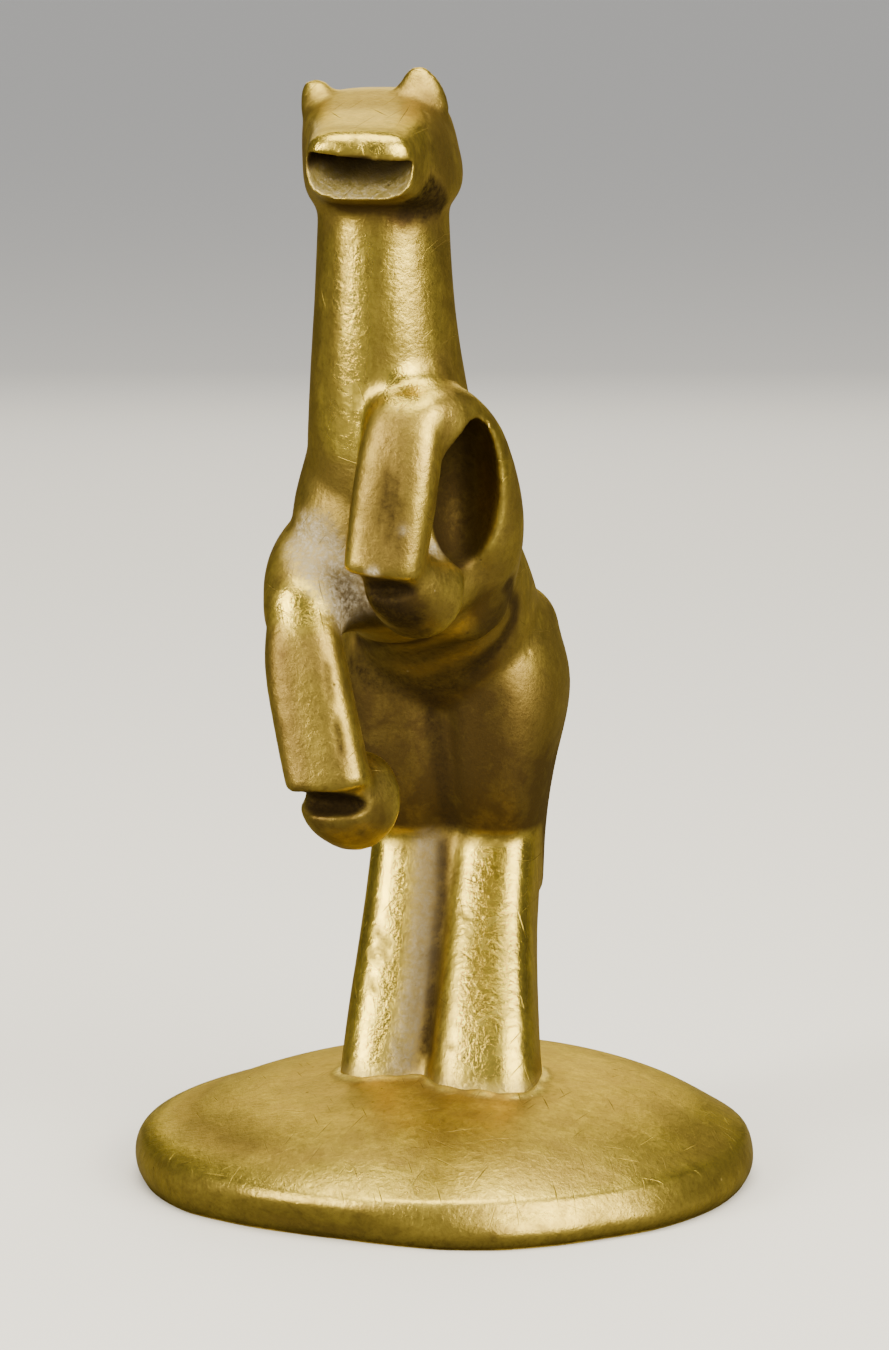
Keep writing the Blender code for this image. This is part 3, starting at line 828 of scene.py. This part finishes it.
def grow_finish(surface, tree, lowest):
    """Works out the skin's wear, patina, dirt and dust, and where highlights and shade are painted
    on it, and stores them as masks.
    """
    ridge = surface.standing(EDGE_STEPS) / MM
    form = surface.standing(FORM_STEPS) / MM
    hidden = shelter(surface, tree, SHELTER_REACH)
    under = np.clip(-surface.normals[:, 2], 0, 1)
    crease = ramp(-ridge, 0.05, 0.16)
    edge = ramp(ridge, 0.02, 0.12)
    height = surface.points[:, 2] - lowest
    thighs, outer = shaded_thighs(surface, height / one_share())
    # Rubbed bare on edges and bulges, plus painted highlights from the strokes above; the thighs
    # stay dull.
    polish_and_highlight = np.maximum(painted(surface, tree, POLISHED_AND_HIGHLIGHTS), 0.3 * edge + 0.2 * ease(form / 0.8))
    polish_and_highlight *= 1 - 0.9 * thighs
    # Patina thickens where other metal stands close; the undersides get painted shade, the darker
    # the more they face down.
    brown_and_shade = np.maximum(painted(surface, tree, BROWNED_AND_SHADED), ramp(hidden, 0.10, 0.40) + 0.6 * under)
    # The thighs get painted shade, less on their outer sides.
    brown_and_shade = np.maximum(brown_and_shade, thighs * (1 - 0.4 * outer))
    # Dirt in creases, and painted shade, near black, where other metal stands close.
    grime_and_shade = 0.5 * crease + 0.9 * ramp(hidden, 0.42, 0.4)
    black_marks = tuple((line, width, black) for line, width, _, black in MARKS if black)
    # Painted shade and dirt along the listed strokes, and dirt in the dark marks.
    grime_and_shade = np.maximum(grime_and_shade, painted(surface, tree, SHADED_AND_SOILED + black_marks))
    # More painted shade on the thighs, near black.
    grime_and_shade = np.maximum(grime_and_shade, 0.45 * thighs * (1 - outer))
    # The slots under the cannons are filled with painted shade, black.
    for slot in HOLLOWS[1:]:
        grime_and_shade = np.maximum(grime_and_shade, ease(1 - scooped(surface, slot) / 0.22))
    # The dish in the raised arm is filled with painted shade, blackest on the side towards the
    # cannon.
    dish = ease(1 - scooped(surface, HOLLOWS[0]) / 0.12)
    across = surface.points @ [math.cos(VIEW_TURN), math.sin(VIEW_TURN), 0]
    deep = ramp(-across / MM, -4.2, 2.2)
    brown_and_shade = brown_and_shade * (1 - dish) + dish * (0.4 + 0.6 * deep)
    grime_and_shade = grime_and_shade * (1 - dish) + dish * (0.04 + 0.6 * deep)
    dust = np.maximum(painted(surface, tree, DUSTED), 0.15 * ease(1 - height / (0.7 * MM)))
    # Inside the mouth, painted light and shade: pale and bright low on the floor towards the lips,
    # black and brown higher up and further back, under the palate.
    lining, low = mouth_lining(surface)
    dust = np.maximum(dust * (1 - lining), 0.7 * lining * low)
    polish_and_highlight = np.maximum(polish_and_highlight * (1 - lining), 0.9 * lining * low)
    grime_and_shade = np.maximum(grime_and_shade * (1 - lining), lining * (1 - low))
    brown_and_shade = np.maximum(brown_and_shade * (1 - lining), lining * (1 - low))
    finish = (("polish_and_highlight", polish_and_highlight, 3), ("brown_and_shade", brown_and_shade, 6), ("grime_and_shade", grime_and_shade, 3), ("dust", dust, 2))
    for name, values, steps in finish:
        surface.keep(name, surface.averaged(np.clip(values, 0, 1), steps))


def set_inputs(tree, made, values):
    """Links the inputs whose value is a socket or a mask, and sets the others."""
    for key, value in values.items():
        value = getattr(value, "socket", value)
        if isinstance(value, bpy.types.NodeSocket):
            tree.links.new(value, made.inputs[key])
        else:
            made.inputs[key].default_value = value


def node(tree, kind, inputs=(), **settings):
    """A node with its settings, and its inputs either set or linked."""
    made = tree.nodes.new(kind)
    for key, value in settings.items():
        setattr(made, key, value)
    set_inputs(tree, made, dict(inputs))
    return made


class Mask:
    """A grey value in a shader, so that masks are written as plain sums and products."""

    def __init__(self, tree, socket):
        self.tree = tree
        self.socket = socket

    def joined(self, operation, a, b):
        made = node(self.tree, "ShaderNodeMath", {0: a, 1: b}, operation=operation)
        return Mask(self.tree, made.outputs[0])

    def __add__(self, other):
        return self.joined("ADD", self, other)

    def __radd__(self, other):
        return self.joined("ADD", other, self)

    def __sub__(self, other):
        return self.joined("SUBTRACT", self, other)

    def __rsub__(self, other):
        return self.joined("SUBTRACT", other, self)

    def __mul__(self, other):
        return self.joined("MULTIPLY", self, other)

    def __rmul__(self, other):
        return self.joined("MULTIPLY", other, self)

    def __lt__(self, other):
        return self.joined("LESS_THAN", self, other)

    def or_more(self, other):
        return self.joined("MAXIMUM", self, other)

    def clamped(self):
        self.socket.node.use_clamp = True
        return self

    def between(self, low, high):
        """0 at low and 1 at high, with a soft step from one to the other."""
        ranged = node(
            self.tree,
            "ShaderNodeMapRange",
            {"Value": self, "From Min": low, "From Max": high},
            interpolation_type="SMOOTHSTEP",
        )
        return Mask(self.tree, ranged.outputs["Result"])


def blend(tree, factor, a, b):
    """Mix of two colours."""
    a, b = (value if isinstance(value, bpy.types.NodeSocket) else (*value, 1) for value in (a, b))
    inputs = {0: factor, 6: a, 7: b}
    return node(tree, "ShaderNodeMix", inputs, data_type="RGBA", clamp_factor=True).outputs[2]


def group(name, **inputs):
    """A shader node group with these inputs, each a number or a vector, that gives one mask.
    Returns the group, its inputs by name and the socket that the mask is linked to."""
    made = bpy.data.node_groups.new(name, "ShaderNodeTree")
    for label, value in inputs.items():
        kind = "NodeSocketFloat" if isinstance(value, float) else "NodeSocketVector"
        made.interface.new_socket(label, in_out="INPUT", socket_type=kind).default_value = value
    made.interface.new_socket("Mask", in_out="OUTPUT", socket_type="NodeSocketFloat")
    given = made.nodes.new("NodeGroupInput").outputs
    return made, given, made.nodes.new("NodeGroupOutput").inputs["Mask"]


def scaled(tree, vector, by):
    return node(tree, "ShaderNodeVectorMath", {0: vector, 1: by}, operation="MULTIPLY").outputs[0]


ORIGIN = (0.0, 0.0, 0.0)
DRAWN_OUT = (1.0, 0.035, 0.0)  # flat cells, about thirty times as long as wide


def blotches_group():
    """Soft irregular patches of patina."""
    made, given, out = group("Blotches", Vector=ORIGIN, Scale=100.0, Softness=0.15, Seed=0.0)
    noise = node(
        made,
        "ShaderNodeTexNoise",
        {
            "Vector": given["Vector"],
            "Scale": given["Scale"],
            "W": given["Seed"],
            "Detail": 5.0,
            "Roughness": 0.6,
            "Distortion": 0.4,
        },
        noise_dimensions="4D",
    ).outputs[0]
    softness = Mask(made, given["Softness"])
    made.links.new(Mask(made, noise).between(0.5 - softness, 0.5 + softness).socket, out)
    return made


def spots(made, given, cells, size, least):
    """Dots in a share of the cells, sized by chance from the least share of the size upwards."""
    pick = node(made, "ShaderNodeSeparateColor", {"Color": cells.outputs["Color"]}).outputs
    chosen = Mask(made, pick[0]) < given["Share"]
    reach = Mask(made, size) * (Mask(made, pick[1]) + least)
    return (chosen * Mask(made, cells.outputs["Distance"]).between(reach, 0.0)).socket


def scratches_group():
    """Short straight scratches on a flat sheet, the turned XY plane, seen all through the piece."""
    made, given, out = group(
        "Hair Scratches", Vector=ORIGIN, Turn=ORIGIN, Scale=500.0, Width=0.03, Share=0.5
    )
    turned = node(
        made,
        "ShaderNodeVectorRotate",
        {"Vector": given["Vector"], "Rotation": given["Turn"]},
        rotation_type="EULER_XYZ",
    ).outputs[0]
    cells = node(
        made,
        "ShaderNodeTexVoronoi",
        {"Vector": scaled(made, turned, DRAWN_OUT), "Scale": given["Scale"], "Randomness": 1.0},
        voronoi_dimensions="2D",
    )
    made.links.new(spots(made, given, cells, given["Width"], 0.3), out)
    return made


def pits_group():
    """Small casting pits and specks, some larger than others."""
    made, given, out = group("Pits", Vector=ORIGIN, Scale=700.0, Share=0.2, Radius=0.3)
    cells = node(
        made,
        "ShaderNodeTexVoronoi",
        {"Vector": given["Vector"], "Scale": given["Scale"], "Randomness": 1.0},
    )
    made.links.new(spots(made, given, cells, given["Radius"], 0.4), out)
    return made


EFFECTS = {"Blotches": blotches_group, "Hair Scratches": scratches_group, "Pits": pits_group}
GLINT_TINT = (1.0, 0.87, 0.45, 1.0)  # brass keeps its colour where it is seen edge on
BUMP_STRENGTH = 0.7


def effect(tree, name, inputs):
    """Places a shared effect in a material, making it the first time."""
    placed = tree.nodes.new("ShaderNodeGroup")
    placed.node_tree = bpy.data.node_groups.get(name) or EFFECTS[name]()
    set_inputs(tree, placed, inputs)
    return Mask(tree, placed.outputs["Mask"])


def brass_material(name, film, crust, strokes, grain, satin, relief_depth):
    """Aged brass: a thin film of patina, rubbed bare on edges, with thick patina in hollows, with
    dust, hair scratches and pits, and the painted highlights and painted shade that the stored
    masks carry. The crust is the colour of the pale stuff in its creases."""
    material = bpy.data.materials.new(name)
    material.use_nodes = True
    tree = material.node_tree
    shader = tree.nodes["Principled BSDF"]
    place = node(tree, "ShaderNodeTexCoord").outputs["Object"]
    colours = bpy.context.scene.brass_colours

    def attribute_mask(attribute):
        read = node(
            tree, "ShaderNodeAttribute", attribute_name=attribute, attribute_type="GEOMETRY"
        )
        return Mask(tree, read.outputs["Fac"])

    def blotches(scale, softness, seed, at=place):
        inputs = {"Vector": at, "Scale": scale, "Softness": softness, "Seed": seed}
        return effect(tree, "Blotches", inputs)

    def pitted(scale, share, radius):
        inputs = {"Vector": place, "Scale": scale, "Share": share, "Radius": radius}
        return effect(tree, "Pits", inputs)

    polish_and_highlight, brown_and_shade, grime_and_shade, dust = attribute_mask("polish_and_highlight"), attribute_mask("brown_and_shade"), attribute_mask("grime_and_shade"), attribute_mask("dust")
    broad = blotches(75.0, 0.2, 1.0)
    patchy = blotches(330.0, 0.16, 4.0)
    fine = blotches(1500.0, 0.25, 9.0)
    rough_grain = blotches(3200.0, 0.3, 21.0)
    flecks = blotches(900.0, 0.12, 13.0, scaled(tree, place, grain))
    gritty = fine * rough_grain
    pits = pitted(520.0, 0.10, 0.12)
    specks = pitted(900.0, 0.03, 0.16)
    scratches = 0.0
    for turn, scale, width in strokes:
        inputs = {"Vector": place, "Turn": turn, "Scale": scale, "Width": width}
        scratches = effect(tree, "Hair Scratches", inputs).or_more(scratches)
    # Patina and painted shade cover the scratches.
    scratches = scratches * (1.0 - brown_and_shade * 1.6).clamped()

    # These masks carry painted highlights and painted shade besides wear, patina and dirt.
    rubbed_and_highlit = (polish_and_highlight + (patchy - 0.5) * 0.5).clamped()
    browned_and_shaded = ((brown_and_shade + (broad - 0.5) * 0.3) * (0.75 + patchy * 0.4)).clamped()
    soiled_and_shaded = (grime_and_shade * (0.8 + gritty * 0.5)).clamped().or_more(pits * 0.8).or_more(scratches * 0.7)
    dusty = (dust * (0.25 + gritty * 1.6)).clamped().or_more(specks * 0.5)
    tinted = colours.aged
    for strength, layer in (
        (broad * 0.6, film),
        (rubbed_and_highlit, colours.bright),
        (flecks * patchy * 0.32, colours.brown_and_shade),
        (gritty * 0.62, colours.brown_and_shade),
        (browned_and_shaded, colours.brown_and_shade),
        (dusty, crust),
        (soiled_and_shaded, colours.grime_and_shade),
    ):
        tinted = blend(tree, strength, tinted, layer)

    rough = satin + patchy * 0.10 - rubbed_and_highlit * 0.13 - polish_and_highlight * 0.07 + browned_and_shaded * 0.04
    relief = fine * 0.6 + rough_grain * 0.3 + patchy * 0.5 + dusty * 0.8
    relief = relief - scratches * 1.2 - pits * 1.2
    bump = {"Height": relief, "Strength": BUMP_STRENGTH, "Distance": relief_depth}
    finish = {
        "Base Color": tinted,
        "Roughness": rough + dusty.or_more(soiled_and_shaded) * 0.4,
        "Metallic": (0.98 - browned_and_shaded * 0.12 - dusty * 0.8).clamped(),
        "Specular Tint": GLINT_TINT,
        "Normal": node(tree, "ShaderNodeBump", bump).outputs["Normal"],
    }
    set_inputs(tree, shader, finish)
    return material


def finish_piece(piece, node_name, material):
    piece.data.materials.clear()
    piece.data.materials.append(material)
    only(piece)
    bpy.ops.object.shade_smooth()
    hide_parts(node_name)
    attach(piece, "root")


class HORSE_OT_figure(bpy.types.Operator):
    """Cast the rearing horse in one skin and finish it."""

    bl_idname = "brass_horse.figure"
    bl_label = "Cast the Horse"

    def execute(self, context):
        sizes = context.scene.figure_sizes
        place = shares()
        head = place @ head_frame()
        parts = [loft(name, stations, place) for name, stations in BODY_PARTS.items()]
        parts += [loft(name, stations, head) for name, stations in HEAD_PARTS.items()]
        deselect()
        for part in parts:
            part.select_set(True)
        context.view_layer.objects.active = parts[0]
        bpy.ops.object.join()
        horse = context.object
        horse.name = "horse_skin"
        fuse(horse, sizes.fineness)
        for hollow in HOLLOWS:
            scoop_out(horse, ball(place @ hollow_frame(*hollow)))
        fuse(horse, sizes.fineness)
        soften(horse, sizes.softening)
        relax(horse, SOFTENED)
        scoop = loft("mouth_scoop", MOUTH_SCOOP, Matrix.Identity(4))
        bisect_away(scoop, (0, 0, MOUTH_ROOF), (MOUTH_SLOPE, 0, 1))
        scoop.data.transform(head)
        scoop_out(horse, scoop)
        fuse(horse, sizes.fineness)
        soften(horse, LIP_SOFTENING)
        crown = context.scene.base_sizes.crown
        bisect_away(horse, (0, 0, crown - sizes.seat_depth), (0, 0, -1))
        surface = Surface(horse)
        tree = skin_tree(horse)
        carve_marks(surface, tree)
        surface.write()
        grow_finish(surface, tree, crown)
        colours = context.scene.brass_colours
        brass = brass_material("figure brass", colours.figure_film, colours.dust, *FIGURE_LOOK)
        finish_piece(horse, "horse", brass)
        return {"FINISHED"}


# How far the hand-filed foot of the base strays from a circle, in millimetres, by direction in
# degrees anticlockwise from the camera's right.
FILED = (
    (0, 0.2), (180, 0.0), (215, -0.1), (225, -0.8), (240, -1.5), (250, -1.5), (260, -0.5),
    (270, 0.9), (280, 1.6), (290, 1.4), (300, 1.0), (310, 1.2), (320, 1.0), (330, 0.8),
    (340, 0.5), (350, 0.4), (360, 0.2),
)
# How far the dome sinks on the camera's left and rises on its right, in millimetres.
DOME_TILT = (0.75, 0.25)
# Waves in the rim, sideways and up and down: how many, where they start and how strong.
STRAY = ((2, 0.6, 0.5), (3, 2.0, 0.3), (7, 0.0, 0.12))
RIPPLE = ((5, 1.3, 0.5), (9, 0.4, 0.3))
RIPPLE_HEIGHT = 0.12  # in millimetres
DISC_POINTS = 288
DOME_RINGS = 96
RIM_RINGS = 27
FEET_REACH = 16 * MM  # no part of the feet stands further from the middle
BEAD_WIDTH = 1.4 * MM


def base_profile(sizes):
    """Radius and height from the crown, over the dome and round the rim, to the underside."""
    dome = sizes.crown - sizes.rim_height
    half = sizes.rim_height / 2
    inner = sizes.radius - sizes.rim_round
    slope = dome * sizes.fullness / inner
    start = math.atan(slope * sizes.rim_round / half)
    edge = inner + sizes.rim_round * math.sin(start)
    low = half * (1 + math.cos(start))
    profile = [
        (edge * share, low + (sizes.crown - low) * (1 - share**sizes.fullness))
        for share in np.linspace(0.004, 1, DOME_RINGS)
    ]
    for angle in np.linspace(start, math.pi, RIM_RINGS)[1:-1]:
        profile.append((inner + sizes.rim_round * math.sin(angle), half * (1 + math.cos(angle))))
    profile.append((sizes.radius - sizes.foot_chamfer, 0.0))
    profile.append((sizes.radius - sizes.foot_chamfer - 2 * MM, 0.0))
    return profile


def turned_disc(name, profile):
    """A closed turned shape: a disc extruded ring by ring along its profile in edit mode."""
    deselect()
    bpy.ops.mesh.primitive_circle_add(
        vertices=DISC_POINTS, radius=profile[0][0], fill_type="NGON", location=(0, 0, 0)
    )
    disc = bpy.context.object
    disc.name = name
    bpy.ops.object.mode_set(mode="EDIT")
    shape = bmesh.from_edit_mesh(disc.data)
    for corner in shape.verts:
        corner.co.z = profile[0][1]
    for (radius, height), (last, _) in zip(profile[1:], profile):
        bpy.ops.mesh.extrude_region()
        grown = radius / last
        bpy.ops.transform.resize(value=(grown, grown, 1), center_override=(0, 0, 0))
        shape = bmesh.from_edit_mesh(disc.data)
        for corner in shape.verts:
            if corner.select:
                corner.co.z = height
    finish_editing()
    return disc


def waves(angle, parts):
    return sum(np.sin(count * angle + start) * strength for count, start, strength in parts)


def file_rim(p, radius, sizes):
    """Files the rim out of round, tilts the dome and lets the rim ripple, on an array of points."""
    angle = np.arctan2(p[:, 1], p[:, 0])
    out = ease((radius / sizes.radius - 0.6) / 0.4)
    directions, steps = np.array(FILED).T
    filed = np.interp(np.degrees(angle - VIEW_TURN) % 360, directions, steps) * MM
    low = 1 - ease((p[:, 2] / MM - 1.0) / 3.0)
    p[:, :2] *= (1 + out * (0.35 + 0.65 * low) * filed / sizes.radius)[:, None]
    across = np.cos(angle - VIEW_TURN)
    hump = ease(radius / (0.5 * sizes.radius))
    hump = hump * (1 - ease((radius / sizes.radius - 0.8) / 0.17))
    tilt = np.where(across < 0, *DOME_TILT)
    p[:, 2] += hump * across * tilt * MM * (p[:, 2] > sizes.rim_height)
    p[:, :2] *= (1 + out * waves(angle, STRAY) * sizes.unevenness / sizes.radius)[:, None]
    upper = p[:, 2] > 0.5 * MM
    p[:, 2] += np.where(upper, out * waves(angle, RIPPLE) * RIPPLE_HEIGHT * MM, 0)


def run_solder(surface, radius, sizes):
    """Raises a lumpy bead round the feet. Returns each point's distance from the horse, and how
    lumpy it is there."""
    p = surface.points
    tree = skin_tree(bpy.data.objects["horse_skin"])
    away = np.full(len(p), 1.0)
    for index in np.nonzero((p[:, 2] > sizes.rim_height) & (radius < FEET_REACH))[0]:
        away[index] = tree.find_nearest(Vector(p[index]))[3]
    away = surface.averaged(away, 2)
    lumps = 0.7 + 0.3 * np.sin(p[:, 0] / MM * 1.7) * np.sin(p[:, 1] / MM * 1.3 + 1)
    p[:, 2] += ease(1 - away / BEAD_WIDTH) * lumps * sizes.bead
    return away, lumps


def grow_base_finish(surface, tree, radius, away, lumps):
    """Works out the base's wear, patina, dirt and dust, with painted highlights on its front and
    rim and painted shade on its undersides, steep sides and bottom, and stores them as masks.
    """
    p = surface.points
    share = radius / bpy.context.scene.base_sizes.radius
    ahead = p / bpy.context.scene.base_sizes.radius
    edge = np.clip(surface.standing(30) / (0.06 * MM), 0, 1)
    rim = ramp(share, 0.88, 0.1)
    # The rim is rubbed bare, most in front, where it also serves as painted highlight.
    rubbed_and_highlit = 0.2 * rim + 0.3 * rim * np.clip(-ahead[:, 1], 0, 1)
    attribute_mask = np.maximum(painted(surface, tree, BASE_RUBBED_AND_HIGHLIGHTS), np.maximum(0.9 * edge, rubbed_and_highlit))
    # Painted shade on the undersides and the rim's steep side, and browner towards the horse's
    # right.
    under = np.clip(-surface.normals[:, 2], 0, 1)
    side = ease((0.75 - surface.normals[:, 2]) / 0.4)
    browned_and_shaded = np.maximum(0.8 * under, 0.6 * side) + 0.3 * ease(-ahead[:, 0]) * (1 - rim)
    # Darker towards the bottom of the rim: painted shade.
    foot_shade = 0.6 * ease(1 - p[:, 2] / (1.8 * MM))
    surface.keep("polish_and_highlight", attribute_mask)
    surface.keep("brown_and_shade", np.maximum(browned_and_shaded, painted(surface, tree, BASE_BROWNED)))
    surface.keep("grime_and_shade", np.maximum(0.5 * ease(1 - away / (0.35 * MM)), foot_shade))
    surface.keep("dust", 0.5 * lumps * ease(1 - away / (1.1 * MM)))


class HORSE_OT_base(bpy.types.Operator):
    """Turn the domed round base, file its rim and run the solder round the feet."""

    bl_idname = "brass_horse.base"
    bl_label = "Turn the Base"

    def execute(self, context):
        sizes = context.scene.base_sizes
        base = turned_disc("base_disc", base_profile(sizes))
        surface = Surface(base)
        radius = np.hypot(surface.points[:, 0], surface.points[:, 1])
        file_rim(surface.points, radius, sizes)
        surface.write()
        away, lumps = run_solder(surface, radius, sizes)
        surface.write()
        grow_base_finish(surface, skin_tree(base), radius, away, lumps)
        colours = context.scene.brass_colours
        brass = brass_material("base brass", colours.base_film, colours.solder, *BASE_LOOK)
        finish_piece(base, "base", brass)
        return {"FINISHED"}


LIT = Vector((0, -0.01, 0.055))  # the point that the lights are aimed at
WARM = (1.0, 0.93, 0.76)
# Name, turn from the front and rise in degrees, distance and size in metres, and power.
LIGHTS = (
    ("left light", -42, 20, 0.75, (0.16, 0.56), 8.5),
    ("right light", 54, 22, 0.75, (0.66, 0.56), 15),
    ("top light", 0, 86, 0.62, (0.55, 0.60), 8.5),
    ("rear light", -167, 24, 0.85, (0.50, 0.40), 2.2),
)
# What the brass mirrors is darker than what the camera sees: the floor by a share, and the sky.
MIRRORED_FLOOR = 0.16
MIRRORED_SKY = 0.08
SKY = 0.75


def softbox(name, turn, rise, distance, size, power):
    """An oblong area light aimed at the figure."""
    a, e = math.radians(turn), math.radians(rise)
    spot = LIT + distance * Vector(
        (math.sin(a) * math.cos(e), -math.cos(a) * math.cos(e), math.sin(e))
    )
    bpy.ops.object.light_add(type="AREA", location=spot)
    lamp = bpy.context.object
    lamp.name = name
    lamp.rotation_euler = (LIT - spot).to_track_quat("-Z", "Y").to_euler()
    lamp.data.shape = "RECTANGLE"
    lamp.data.size, lamp.data.size_y = size
    lamp.data.energy = power
    lamp.data.color = WARM


def mirror_blend(tree, plain, mirrored):
    """One colour for the camera, and another for what the brass mirrors."""
    glossy = node(tree, "ShaderNodeLightPath").outputs["Is Glossy Ray"]
    return blend(tree, glossy, plain, mirrored)


class HORSE_OT_stage(bpy.types.Operator):
    """Lay the floor, hang the soft lights and set the camera."""

    bl_idname = "brass_horse.stage"
    bl_label = "Set the Stage"

    def execute(self, context):
        deselect()
        bpy.ops.mesh.primitive_plane_add(size=60, location=(0, 0, 0))
        floor = context.object
        floor.name = "floor"
        pale = tuple(context.scene.brass_colours.floor)
        paper = bpy.data.materials.new("pale floor")
        paper.use_nodes = True
        tree = paper.node_tree
        shader = tree.nodes["Principled BSDF"]
        dimmed = tuple(MIRRORED_FLOOR * part for part in pale)
        tone = mirror_blend(tree, pale, dimmed)
        set_inputs(tree, shader, {"Base Color": tone, "Roughness": 0.9, "Specular IOR Level": 0.1})
        floor.data.materials.append(paper)
        for light in LIGHTS:
            softbox(*light)
        world = bpy.data.worlds.new("studio")
        world.use_nodes = True
        tree = world.node_tree
        tone = mirror_blend(tree, (SKY,) * 3, (MIRRORED_SKY,) * 3)
        set_inputs(tree, tree.nodes["Background"], {"Color": tone, "Strength": 1.0})
        context.scene.world = world
        bpy.ops.object.camera_add(location=EYE)
        camera = context.object
        camera.rotation_euler = (AIM - EYE).to_track_quat("-Z", "Y").to_euler()
        camera.data.lens = LENS
        camera.data.sensor_width = SENSOR
        camera.data.clip_start = 0.01
        camera.data.clip_end = 100
        context.scene.camera = camera
        return {"FINISHED"}


class HORSE_PT_panel(bpy.types.Panel):
    """Lists the steps that make the statuette, with its sizes and colours."""

    bl_label = "Brass Horse"
    bl_idname = "HORSE_PT_panel"
    bl_space_type = "VIEW_3D"
    bl_region_type = "UI"
    bl_category = "Brass Horse"

    def draw(self, context):
        layout = self.layout
        for step in (HORSE_OT_figure, HORSE_OT_base, HORSE_OT_stage):
            layout.operator(step.bl_idname)
        for settings in ("figure_sizes", "base_sizes", "brass_colours"):
            box = layout.box()
            held = getattr(context.scene, settings)
            for name in held.__annotations__:
                box.prop(held, name)


CLASSES = (
    FigureSizes,
    BaseSizes,
    BrassColours,
    HORSE_OT_figure,
    HORSE_OT_base,
    HORSE_OT_stage,
    HORSE_PT_panel,
)


def register():
    for made in CLASSES:
        bpy.utils.register_class(made)
    bpy.types.Scene.figure_sizes = PointerProperty(type=FigureSizes)
    bpy.types.Scene.base_sizes = PointerProperty(type=BaseSizes)
    bpy.types.Scene.brass_colours = PointerProperty(type=BrassColours)


def unregister():
    for settings in ("figure_sizes", "base_sizes", "brass_colours"):
        delattr(bpy.types.Scene, settings)
    for made in reversed(CLASSES):
        bpy.utils.unregister_class(made)


def main():
    register()
    bpy.ops.brass_horse.figure()
    bpy.ops.brass_horse.base()
    bpy.ops.brass_horse.stage()


if __name__ == "__main__":
    main()
